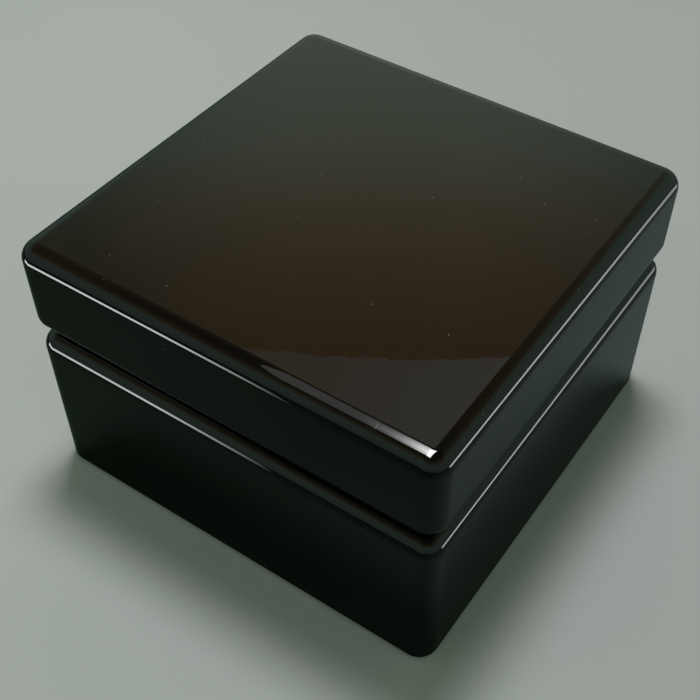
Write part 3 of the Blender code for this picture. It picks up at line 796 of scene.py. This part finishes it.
def make_base_felt():
    """The felt pad under the base, with softly pressed edges."""
    low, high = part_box("base_felt")
    half = high.x
    rows = pad_rows(low.z, high.z, FELT_EDGE)

    def place(row, angle):
        share, inset, z = row
        reach = share * (square_reach(angle, half, FELT_CORNER) - inset)
        x, y = reach * math.cos(angle), reach * math.sin(angle)
        fuzz = abs(lumps(x, y, 420.0, FELT_FUZZ, z * 900.0))
        return Vector((x, y, z + fuzz if z < (low.z + high.z) / 2 else z - fuzz))

    bm = swept(rows, PAD_STEPS, place)
    obj = piece("felt_pad", bm, felt(), "felt", "base", "base_felt")


def make_deck_velvet(cloth):
    """The velvet over the deck. It turns down into the jar's hole and at the walls."""
    low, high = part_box("deck_velvet")
    flange_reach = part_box("powder_jar")[1].x + MM
    half = high.x
    hole = DECK_HOLE
    count = 16
    rows = [(i / count, 1.0) for i in range(count + 1)]
    rows += [(1.0, 0.5), (1.0, 0.0)]
    rows += [(i / count, 0.0) for i in range(count - 1, -1, -1)]
    rows += [(0.0, 0.5), (0.0, 1.0)]

    def place(row, angle):
        share, level = row
        outer = square_reach(angle, half, VELVET_CORNER)
        soft = VELVET_EDGE * (1.0 if level in (0.0, 1.0) else 0.0)
        reach = (hole + soft) + (outer - hole - 2 * soft) * share
        x, y = reach * math.cos(angle), reach * math.sin(angle)
        top = high.z - VELVET_EDGE * 0.5 * (level == 1.0 and share in (0.0, 1.0))
        top += 0.0 if reach < flange_reach else abs(lumps(x, y, 130.0, VELVET_LUMP))
        return Vector((x, y, low.z + (top - low.z) * level))

    bm = swept(rows, VELVET_STEPS, place)
    obj = piece("deck_velvet_cloth", bm, cloth, "velvet", "base", "deck_velvet")


def make_lid_lining(cloth):
    """The velvet on the lid's board, padded a little round the mirror frame."""
    low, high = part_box("lid_lining")
    bezel_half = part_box("mirror_bezel")[1].x
    half = high.x
    rows = pad_rows(low.z, high.z, LINING_EDGE, count=24)

    def place(row, angle):
        share, inset, z = row
        reach = share * (square_reach(angle, half, VELVET_CORNER) - inset)
        x, y = reach * math.cos(angle), reach * math.sin(angle)
        outside = max(abs(x), abs(y)) - bezel_half
        swell = max(0.0, min(1.0, outside / LINING_SWELL_WIDTH))
        if z < (low.z + high.z) / 2:
            z -= swell * (LINING_SWELL + lumps(x, y, 150.0, LINING_SWELL * 0.5, 3.0))
        return Vector((x, y, z))

    bm = swept(rows, VELVET_STEPS, place)
    obj = piece("lid_lining_cloth", bm, cloth, "velvet", "lid", "lid_lining")
    for index in range(1, 5):
        screw_low, screw_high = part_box(f"bezel_screw_{index}")
        drill = bmesh.new()
        middle = (screw_low + screw_high) / 2
        bmesh.ops.create_cone(
            drill, cap_ends=True, segments=16, depth=DRILL_LENGTH,
            radius1=SCREW_HOLE, radius2=SCREW_HOLE,
        )
        bmesh.ops.translate(drill, vec=(middle.x, middle.y, high.z), verts=drill.verts)
        cutter = bpy.data.objects.new("drill", bpy.data.meshes.new("drill"))
        drill.to_mesh(cutter.data)
        drill.free()
        link(cutter)
        cut = obj.modifiers.new("hole", "BOOLEAN")
        cut.operation = "DIFFERENCE"
        cut.solver = "EXACT"
        cut.object = cutter
        keep_result(obj)
        bpy.data.objects.remove(cutter)


def keep_result(obj):
    """Makes what the modifiers give the object's own mesh."""
    bpy.context.view_layer.update()
    made = bpy.data.meshes.new_from_object(obj.evaluated_get(bpy.context.evaluated_depsgraph_get()))
    obj.modifiers.clear()
    obj.data = made


def make_powder():
    """The powder in the jar: a settled heap with soft drifts and a hollow where it was last used."""
    low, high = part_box("loose_powder")
    radius = high.x
    foot = POWDER_FOOT
    top = [(i / POWDER_RINGS, None) for i in range(POWDER_RINGS + 1)]
    turns = [math.pi / 2 * i / 4 for i in range(5)]
    side = [
        (1.0 - foot / radius * (1.0 - math.cos(turn)), low.z + foot * (1.0 - math.sin(turn)))
        for turn in turns
    ]
    rows = top + side + [(0.5, low.z), (0.0, low.z)]

    def place(row, angle):
        share, z = row
        x, y = share * radius * math.cos(angle), share * radius * math.sin(angle)
        if z is None:
            away = (Vector((x, y)) - Vector(POWDER_HOLLOW_AT)).length
            hollow = POWDER_HOLLOW * math.exp(-((away / POWDER_HOLLOW_REACH) ** 2))
            drift = sum(lumps(x, y, scale, height, seed) for scale, height, seed in POWDER_DRIFTS)
            ridge = POWDER_RIDGE * max(0.0, share - POWDER_RIDGE_FROM) / (1.0 - POWDER_RIDGE_FROM)
            z = high.z - POWDER_DROP - hollow + drift + ridge
        return Vector((x, y, z))

    bm = swept(rows, POWDER_STEPS, place)
    piece("powder_heap", bm, face_powder(), "face_powder", "base", "loose_powder")


def weave_thread(bm, across, reach, turned, middle):
    """One oval thread of the net, across from the middle. It goes over and under those it crosses."""
    steps = 2 * int(reach / NET_PITCH) + 1
    rings = []
    for i in range(-steps, steps + 1):
        along = reach * i / steps
        phase = math.pi * (along + across) / NET_PITCH + turned * math.pi
        wave = NET_THICK / 2 * math.sin(phase + math.pi / 2)
        ring = []
        for k in range(THREAD_SIDES):
            turn = math.tau * k / THREAD_SIDES
            side = across + NET_THREAD / 2 * math.cos(turn)
            z = middle + wave + NET_THICK / 2 * math.sin(turn)
            ring.append(bm.verts.new((side, along, z) if turned else (along, side, z)))
        rings.append(ring)
    for first, second in zip(rings, rings[1:]):
        for k in range(THREAD_SIDES):
            bm.faces.new((first[k], first[k - 1], second[k - 1], second[k]))
    bm.faces.new(rings[0])
    bm.faces.new(reversed(rings[-1]))


def make_net():
    """The sifter's net, woven of two sets of oval nylon threads."""
    low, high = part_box("sifter_net")
    radius = high.x - NET_THREAD
    middle = (low.z + high.z) / 2
    count = int(radius / NET_PITCH)
    bm = bmesh.new()
    for turned in (False, True):
        for number in range(-count, count + 1):
            across = number * NET_PITCH
            weave_thread(bm, across, math.sqrt(radius ** 2 - across ** 2), turned, middle)
    bmesh.ops.recalc_face_normals(bm, faces=bm.faces)
    obj = piece("sifter_netting", bm, nylon_net(), "net", "base", "sifter_net")


def simulate_filling(obj, seam, pressure, frames):
    """Blows a closed cloth up like a filled cushion, with its seam held and no gravity."""
    held = obj.vertex_groups.new(name="seam")
    held.add(seam, 1.0, "REPLACE")
    cloth = obj.modifiers.new("cloth", "CLOTH")
    settings = cloth.settings
    settings.quality = 8
    settings.mass = 0.15
    settings.tension_stiffness = 20.0
    settings.compression_stiffness = 20.0
    settings.shear_stiffness = 10.0
    settings.bending_stiffness = 0.6
    settings.vertex_group_mass = "seam"
    settings.use_pressure = True
    settings.uniform_pressure_force = pressure
    settings.effector_weights.gravity = 0.0
    cloth.collision_settings.use_collision = False
    cloth.collision_settings.use_self_collision = False
    cloth.point_cache.frame_end = frames
    for number in range(1, frames + 1):
        SCENE.frame_set(number)
    keep_result(obj)
    SCENE.frame_set(1)


def puff_side(share):
    """How full the cut puff is at a share of its radius: flat in the middle, rounded at the seam."""
    return (1.0 - share ** PUFF_FLATNESS) ** 0.5


def make_puff():
    """The powder puff: two plush discs sewn at the rim and filled, simulated ten times its size."""
    low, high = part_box("powder_puff")
    radius = high.x - PUFF_PUCKER
    seam_z = low.z + PUFF_SEAM_AT * (high.z - low.z)
    count = PUFF_RINGS

    def place(row, angle):
        share, side = row
        x, y = share * radius * math.cos(angle), share * radius * math.sin(angle)
        depth = (high.z - seam_z) if side > 0 else (seam_z - low.z)
        uneven = 1.0 + lumps(x, y, 60.0, PUFF_UNEVEN, side)
        return Vector((x, y, side * depth * PUFF_START * puff_side(share) * uneven)) * SIM_SCALE

    rows = [(math.sin(math.pi / 2 * i / count), 1) for i in range(count)]
    rows += [(1.0, 1)] + [(share, -1) for share, side in reversed(rows)]
    bm = swept(rows, 4 * PUFF_STITCHES, place)
    obj = piece("plush_puff", bm, plush(), "puff_plush", "base", "powder_puff")
    seam = [v.index for v in obj.data.vertices if v.co.xy.length > 0.9999 * radius * SIM_SCALE]
    simulate_filling(obj, seam, PUFF_PRESSURE, PUFF_FRAMES)
    mesh = obj.data
    top = max(v.co.z for v in mesh.vertices)
    for v in mesh.vertices:
        x, y, z = v.co / SIM_SCALE
        reach = min(math.hypot(x, y), radius)
        angle = math.atan2(y, x)
        near_seam = math.exp(-(((radius - reach) / PUFF_PUCKER_REACH) ** 2))
        stitch = math.cos(PUFF_STITCHES * angle)
        reach += PUFF_PUCKER * stitch * near_seam
        nap = 1.0 + PUFF_NAP * noise.noise(v.co * PUFF_NAP_SCALE)
        z *= (high.z - seam_z) * SIM_SCALE / top * nap
        v.co = (reach * math.cos(angle), reach * math.sin(angle), min(high.z, max(low.z, seam_z + z)))
    mesh.shade_smooth()
    fine = obj.modifiers.new("fine", "SUBSURF")
    fine.levels = 1
    fine.render_levels = 1
    keep_result(obj)
    return obj


def make_ribbon(puff):
    """The satin band over the puff: sewn in at the rim on both sides, with a loop for the fingers."""
    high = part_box("puff_ribbon")[1]
    puff_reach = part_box("powder_puff")[1].x
    plush_tree = BVHTree.FromObject(puff, bpy.context.evaluated_depsgraph_get())

    def lying(inset):
        """A point on the ribbon where it lies on the puff, so far in from the puff's rim."""
        x = puff_reach - inset
        starts = [Vector((x, side * RIBBON_HALF * 0.9, high.z)) for side in (-1, 0, 1)]
        tops = [plush_tree.ray_cast(start, Vector((0, 0, -1)))[0] for start in starts]
        return Vector((x, 0.0, max(top.z for top in tops if top) + RIBBON_LIFT))

    rise = [lying(inset) for inset in RIBBON_LYING]
    crown = Vector((0.0, 0.0, high.z - RIBBON_THICKNESS))
    rise += [Vector((share * puff_reach, 0.0, crown.z - drop)) for share, drop in RIBBON_LOOP]
    path = [Vector((-p.x, p.y, p.z)) for p in rise] + [crown] + rise[::-1]
    line = smooth_line(path, RIBBON_STEPS)
    bm = bmesh.new()
    rows = []
    for index, point in enumerate(line):
        share = index / (len(line) - 1)
        twist = RIBBON_TWIST * math.sin(math.tau * share)
        row = []
        for k in range(RIBBON_COLUMNS + 1):
            side = 2.0 * k / RIBBON_COLUMNS - 1.0
            crease = lumps(point.x, side * 4.0 * MM, 260.0, RIBBON_CREASE, 9.0)
            cup = -RIBBON_CUP * side * side * math.sin(math.pi * share)
            y = side * RIBBON_HALF * (1.0 - RIBBON_WAIST * math.sin(math.pi * share) ** 4)
            row.append(bm.verts.new(point + Vector((0.0, y, y * twist + cup + crease))))
        rows.append(row)
    for first, second in zip(rows, rows[1:]):
        for k in range(RIBBON_COLUMNS):
            bm.faces.new((first[k], second[k], second[k + 1], first[k + 1]))
    obj = piece("satin_ribbon", bm, satin(), "satin", "base", "puff_ribbon")
    solid = obj.modifiers.new("thickness", "SOLIDIFY")
    solid.thickness = RIBBON_THICKNESS
    solid.offset = 0.0
    keep_result(obj)
    obj.data.shade_smooth()


def smooth_line(points, steps):
    """A Catmull-Rom curve through the points."""
    padded = [2 * points[0] - points[1]] + points + [2 * points[-1] - points[-2]]
    line = []
    for before, start, end, after in zip(padded, padded[1:], padded[2:], padded[3:]):
        for i in range(steps):
            t = i / steps
            line.append(0.5 * (2 * start + (end - before) * t
                               + (2 * before - 5 * start + 4 * end - after) * t ** 2
                               + (3 * start - before - 3 * end + after) * t ** 3))
    return line + [points[-1]]


def finish_nodes():
    """The finish of each CAD node that stays as it is."""
    finishes = {
        "black_lacquer": lacquer(),
        "neck_black": neck_black(),
        "greyboard": greyboard(),
        "ivory_plastic": ivory_plastic(),
        "brass": brass(),
        "steel": steel(),
        "mirror": mirror(),
    }
    for subpart in frame["record"]["subparts"]:
        if subpart["material_slot"] in finishes:
            finish_node(subpart["node"], finishes[subpart["material_slot"]])


SCENE.view_settings.view_transform = "Standard"
make_camera()
make_floor()
make_panel()
make_world()
make_lights()

finish_nodes()
make_base_felt()
velvet_cloth = velvet()
make_deck_velvet(velvet_cloth)
make_lid_lining(velvet_cloth)
make_powder()
make_net()
make_ribbon(make_puff())
